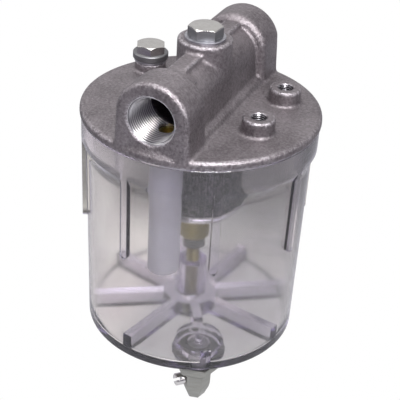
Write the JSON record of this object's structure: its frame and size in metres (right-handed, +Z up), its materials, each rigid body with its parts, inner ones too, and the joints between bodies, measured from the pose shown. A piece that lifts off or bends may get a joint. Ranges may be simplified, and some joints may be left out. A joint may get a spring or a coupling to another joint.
{
  "type": "fuel water separator",
  "caption": "Fuel water separator: cast head with two in-line threaded ports, clear ribbed bowl, mesh strainer on a central rod, dip tube and drain valve.",
  "frame": {"origin": "midway between the two tapped mounting holes, on the mounting bosses' top faces", "axes": "+Z up along the mounting holes and parallel to the bowl's axis, Y along the two in-line ports with the inlet towards -Y"},
  "size_m": [0.136, 0.136, 0.2225],
  "materials": {
    "cast_aluminium": "fine-grained casting with bright worn edges",
    "cast_zinc": "cast, slightly satin",
    "zinc_plate": "bright zinc plating",
    "dark_steel": "dull dark steel",
    "strainer_steel": "pressed stainless sheet",
    "woven_wire": "fine woven wire cloth",
    "seal_metal": "soft bare metal",
    "brass": "turned, dulled by fuel",
    "clear_plastic": "clear moulded plastic with a slight grey-violet tint",
    "white_plastic": "translucent white tube",
    "rubber": "black fuel-resistant rubber"
  },
  "bodies": {
    "separator": {"head": "cast_aluminium", "cap_nut": "zinc_plate", "cap_nut_seal": "seal_metal", "tie_rod": "brass", "bowl_seal": "rubber", "bowl": "clear_plastic", "bowl_insert": "brass", "inlet_nipple": "brass", "dip_tube": "white_plastic", "strainer_gasket": "rubber", "strainer_top_cap": "strainer_steel", "strainer_mesh": "woven_wire", "strainer_core": "strainer_steel", "strainer_bottom_cap": "strainer_steel", "clamp_bush": "brass", "lock_nut": "dark_steel", "drain_body": "cast_zinc", "drain_seal": "rubber"},
    "bleed_plug_travel": {"bleed_plug_seal": "seal_metal"},
    "bleed_plug": {"bleed_plug": "zinc_plate"},
    "drain_screw_travel": {"drain_oring": "rubber"},
    "drain_screw": {"drain_screw": "zinc_plate"}
  },
  "joints": [
    {"name": "bleed_plug_lift", "type": "slide", "parent": "separator", "child": "bleed_plug_travel", "axis": [0, 0, 1], "range_m": [0, 0.00401]},
    {"name": "bleed_plug_turn", "type": "hinge", "parent": "bleed_plug_travel", "child": "bleed_plug", "pos_m": [-0.08569, 0.02271, 0.001], "axis": [0, 0, 1], "range_deg": [0, 1085]},
    {"name": "drain_screw_travel", "type": "slide", "parent": "separator", "child": "drain_screw_travel", "axis": [-0.7266, -0.6871, 0], "range_m": [0, 0.003]},
    {"name": "drain_screw_turn", "type": "hinge", "parent": "drain_screw_travel", "child": "drain_screw", "pos_m": [-0.02463, -0.04994, -0.1711], "axis": [-0.7266, -0.6871, 0], "range_deg": [0, 1085]}
  ],
  "couplings": [
    {"joint": "bleed_plug_turn", "follows": "bleed_plug_lift", "rad_per_m": 4699.5},
    {"joint": "drain_screw_turn", "follows": "drain_screw_travel", "rad_per_m": 6283.2}
  ]
}
